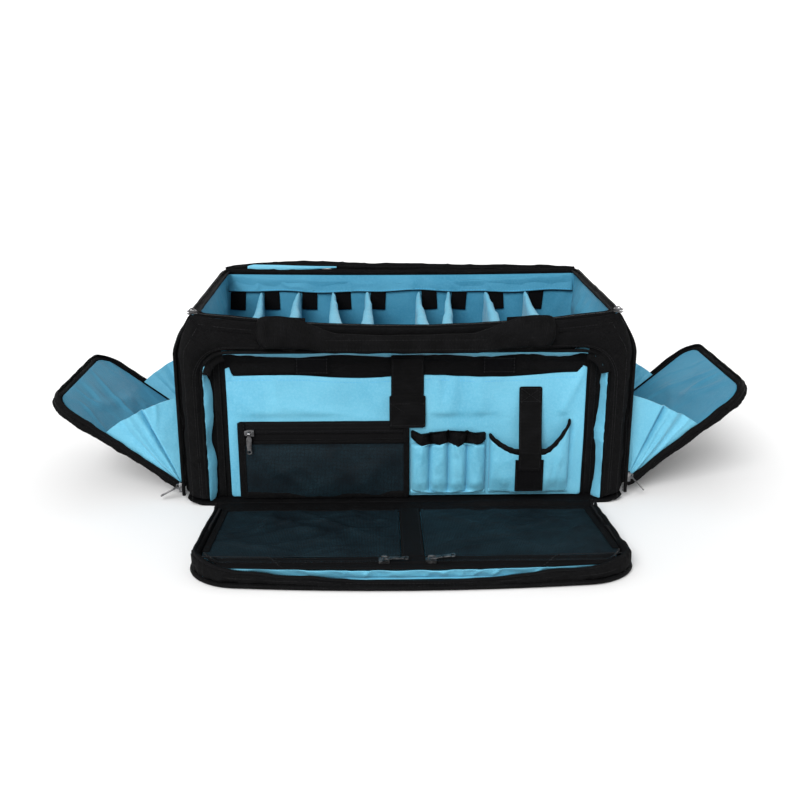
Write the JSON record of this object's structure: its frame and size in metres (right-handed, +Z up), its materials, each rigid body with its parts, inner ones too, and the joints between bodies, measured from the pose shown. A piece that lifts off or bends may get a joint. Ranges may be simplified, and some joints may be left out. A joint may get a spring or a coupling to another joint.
{
  "type": "gear carry bag",
  "caption": "Soft gear bag standing open: padded tub with dividers, front organiser, drop-down flap, two end pockets and a folded-back lid.",
  "frame": {"origin": "centre of the base's flat underside, on the floor", "axes": "+X across the bag's width, front faces -Y, +Z up"},
  "size_m": [0.8302, 0.6182, 0.2325],
  "materials": {
    "black_polyester": "matt woven polyester",
    "black_webbing": "ribbed webbing",
    "hook_and_loop": "brushed loop pile",
    "sky_blue_lining": "smooth sheen lining cloth",
    "dark_mesh": "fine net",
    "zip_metal": "plated zinc casting"
  },
  "bodies": {
    "bag_body": {"back_wall": "black_polyester", "base_panel": "black_polyester", "device_elastic": "black_webbing", "device_loop_patch": "hook_and_loop", "device_pocket": "sky_blue_lining", "divider_1": "sky_blue_lining", "divider_2": "sky_blue_lining", "divider_3": "sky_blue_lining", "divider_4": "sky_blue_lining", "divider_5": "sky_blue_lining", "divider_6": "sky_blue_lining", "divider_7": "sky_blue_lining", "divider_8": "sky_blue_lining", "front_frame": "black_polyester", "hook_patch_left": "hook_and_loop", "hook_patch_right": "hook_and_loop", "left_end_frame": "black_polyester", "left_end_slider": "zip_metal", "left_gusset_back": "sky_blue_lining", "left_gusset_front": "sky_blue_lining", "lid_hinge_band": "black_polyester", "main_tub": "sky_blue_lining", "mesh_pocket": "dark_mesh", "mesh_pocket_zip": "black_polyester", "organiser_gusset": "sky_blue_lining", "organiser_panel": "black_polyester", "pen_elastic": "black_webbing", "pen_pocket": "sky_blue_lining", "right_end_frame": "black_polyester", "right_end_slider": "zip_metal", "right_gusset_back": "sky_blue_lining", "right_gusset_front": "sky_blue_lining", "rim_zip": "black_polyester", "slip_pocket_sheet": "sky_blue_lining"},
    "lid": {"lid_panel": "black_polyester", "lid_lining": "sky_blue_lining"},
    "front_flap": {"front_flap_panel": "black_polyester", "front_flap_rim": "black_polyester", "front_flap_lining": "sky_blue_lining", "flap_mesh_left": "dark_mesh", "flap_mesh_right": "dark_mesh", "flap_zip_band": "black_polyester", "flap_bellows": "sky_blue_lining"},
    "left_end_flap": {"left_end_flap_panel": "black_polyester", "left_end_flap_lining": "sky_blue_lining"},
    "right_end_flap": {"right_end_flap_panel": "black_polyester", "right_end_flap_lining": "sky_blue_lining"},
    "front_handle": {"front_handle": "black_webbing"},
    "back_handle": {"back_handle": "black_webbing"},
    "centre_strap": {"centre_strap": "black_webbing"},
    "device_strap": {"device_strap": "black_webbing"},
    "organiser_slider": {"organiser_slider": "zip_metal"},
    "organiser_pull": {"organiser_pull": "zip_metal"},
    "flap_left_slider": {"flap_left_slider": "zip_metal"},
    "flap_left_pull": {"flap_left_pull": "zip_metal"},
    "flap_right_slider": {"flap_right_slider": "zip_metal"},
    "flap_right_pull": {"flap_right_pull": "zip_metal"},
    "left_end_pull": {"left_end_pull": "zip_metal"},
    "right_end_pull": {"right_end_pull": "zip_metal"}
  },
  "joints": [
    {"name": "lid_hinge", "type": "hinge", "parent": "bag_body", "child": "lid", "pos_m": [0, 0.1371, 0.234], "axis": [1, 0, 0], "range_deg": [0, 238.47]},
    {"name": "front_flap_hinge", "type": "hinge", "parent": "bag_body", "child": "front_flap", "pos_m": [0, -0.159, 0.004], "axis": [-1, 0, 0], "range_deg": [0, 90]},
    {"name": "left_end_flap_hinge", "type": "hinge", "parent": "bag_body", "child": "left_end_flap", "pos_m": [-0.2653, 0, 0.012], "axis": [0, 1, 0], "range_deg": [0, 53], "deforming": ["left_gusset_front", "left_gusset_back"]},
    {"name": "right_end_flap_hinge", "type": "hinge", "parent": "bag_body", "child": "right_end_flap", "pos_m": [0.2653, 0, 0.012], "axis": [0, -1, 0], "range_deg": [0, 49], "deforming": ["right_gusset_front", "right_gusset_back"]},
    {"name": "front_handle_hinge", "type": "hinge", "parent": "bag_body", "child": "front_handle", "pos_m": [0, -0.1463, 0.2275], "axis": [1, 0, 0], "range_deg": [-160, 0]},
    {"name": "back_handle_hinge", "type": "hinge", "parent": "bag_body", "child": "back_handle", "pos_m": [0, 0.1463, 0.12], "axis": [-1, 0, 0], "range_deg": [-160, 0]},
    {"name": "centre_strap_hinge", "type": "hinge", "parent": "bag_body", "child": "centre_strap", "pos_m": [0.002, -0.1319, 0.18165], "axis": [1, 0, 0], "range_deg": [-90, 0]},
    {"name": "device_strap_hinge", "type": "hinge", "parent": "bag_body", "child": "device_strap", "pos_m": [0.1445, -0.1248, 0.142], "axis": [1, 0, 0], "range_deg": [-135, 0]},
    {"name": "organiser_zip", "type": "slide", "parent": "bag_body", "child": "organiser_slider", "axis": [1, 0, 0], "range_m": [0, 0.17]},
    {"name": "organiser_pull_hinge", "type": "hinge", "parent": "organiser_slider", "child": "organiser_pull", "pos_m": [-0.1818, -0.13211, 0.0883], "axis": [1, 0, 0], "range_deg": [-150, 0]},
    {"name": "flap_left_zip", "type": "slide", "parent": "front_flap", "child": "flap_left_slider", "axis": [-1, 0, 0], "range_m": [0, 0.155]},
    {"name": "flap_left_pull_hinge", "type": "hinge", "parent": "flap_left_slider", "child": "flap_left_pull", "pos_m": [-0.0265, -0.3176, 0.0227], "axis": [0, 1, 0], "range_deg": [-160, 0]},
    {"name": "flap_right_zip", "type": "slide", "parent": "front_flap", "child": "flap_right_slider", "axis": [1, 0, 0], "range_m": [0, 0.155]},
    {"name": "flap_right_pull_hinge", "type": "hinge", "parent": "flap_right_slider", "child": "flap_right_pull", "pos_m": [0.0205, -0.3176, 0.0227], "axis": [0, 1, 0], "range_deg": [-160, 0]},
    {"name": "left_end_pull_hinge", "type": "hinge", "parent": "bag_body", "child": "left_end_pull", "pos_m": [-0.2703, -0.117, 0.0175], "axis": [0, -1, 0], "range_deg": [-120, 0]},
    {"name": "right_end_pull_hinge", "type": "hinge", "parent": "bag_body", "child": "right_end_pull", "pos_m": [0.2703, -0.117, 0.0265], "axis": [0, 1, 0], "range_deg": [-120, 0]}
  ]
}
